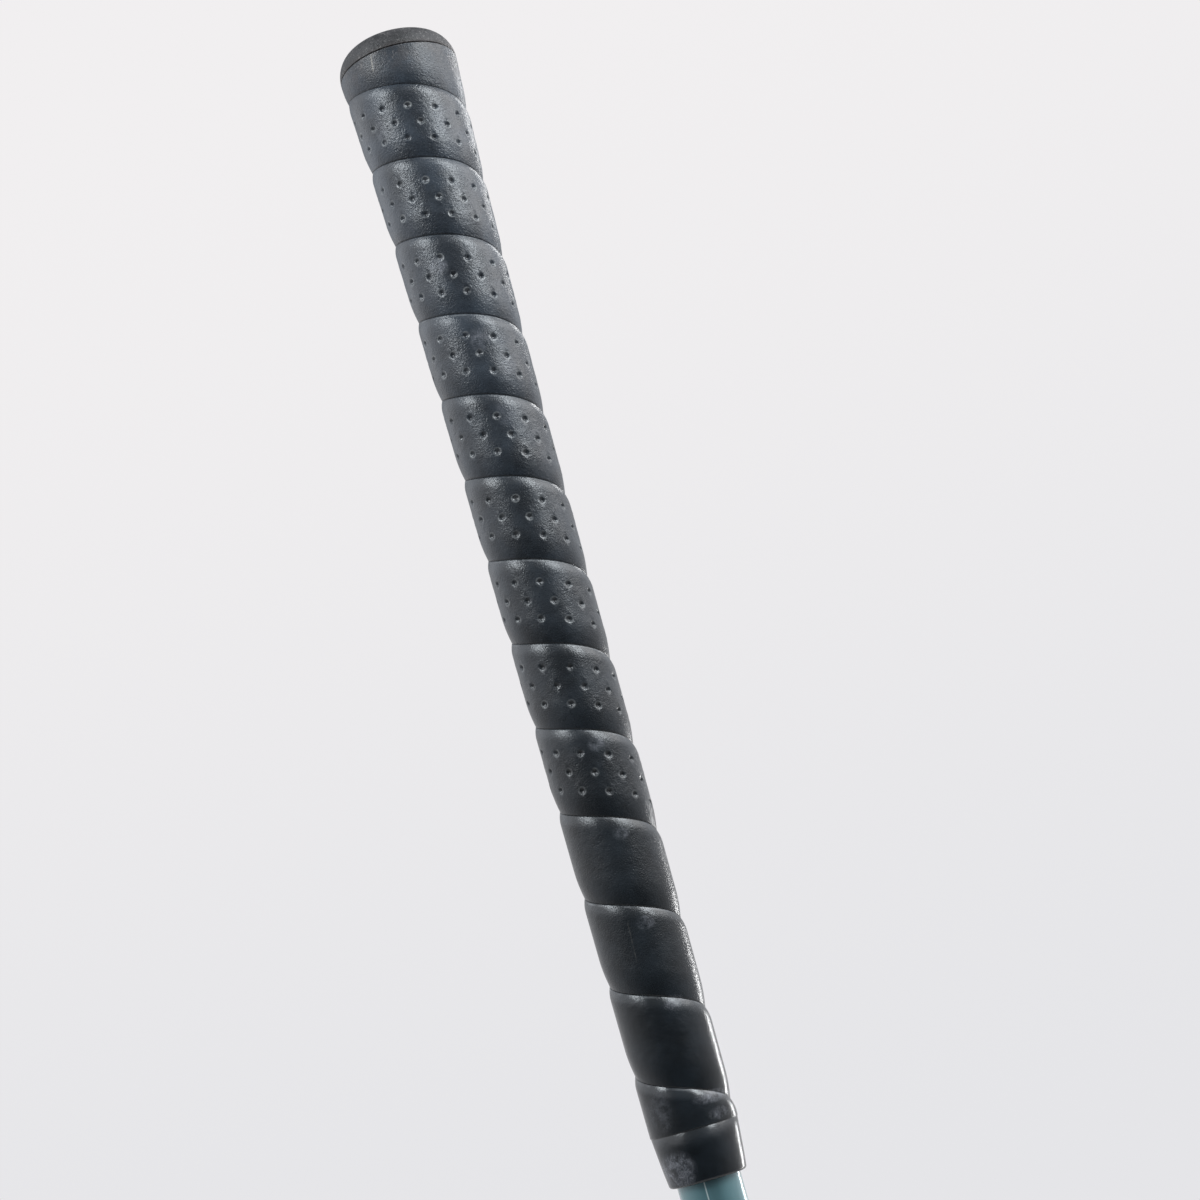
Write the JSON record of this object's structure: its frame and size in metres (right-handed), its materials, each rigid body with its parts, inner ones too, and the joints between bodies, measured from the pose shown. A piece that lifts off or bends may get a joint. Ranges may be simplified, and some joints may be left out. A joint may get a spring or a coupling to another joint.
{
  "type": "golf iron",
  "caption": "Right-handed golf iron: spiral-wrapped rubber grip with a vented end cap, tapered graphite shaft, ferrule, and a lofted cavity-back head with straight score lines.",
  "frame": {"origin": "centre of the vent hole at the flat top of the grip's end cap, on the shaft's axis", "axes": "+Z along the shaft's axis towards the butt; the toe points to -Y and the face looks to +X"},
  "size_m": [0.0469, 0.1016, 0.9748],
  "materials": {
    "grip_rubber": "satin, moulded",
    "cap_rubber": "matte, dusty",
    "tape": "matte",
    "shaft_paint": "glossy paint over graphite",
    "ferrule_plastic": "polished",
    "ring_metal": "turned",
    "epoxy": "cured",
    "weight_brass": "turned",
    "head_steel": "satin",
    "badge_metal": "satin",
    "adhesive": "foam"
  },
  "bodies": {
    "root": {"grip_sleeve": "grip_rubber", "grip_cap": "cap_rubber", "grip_tape": "tape", "shaft": "shaft_paint", "ferrule": "ferrule_plastic", "ferrule_ring": "ring_metal", "hosel_epoxy": "epoxy", "tip_weight": "weight_brass", "head": "head_steel", "cavity_badge": "badge_metal", "badge_adhesive": "adhesive"}
  },
  "joints": []
}
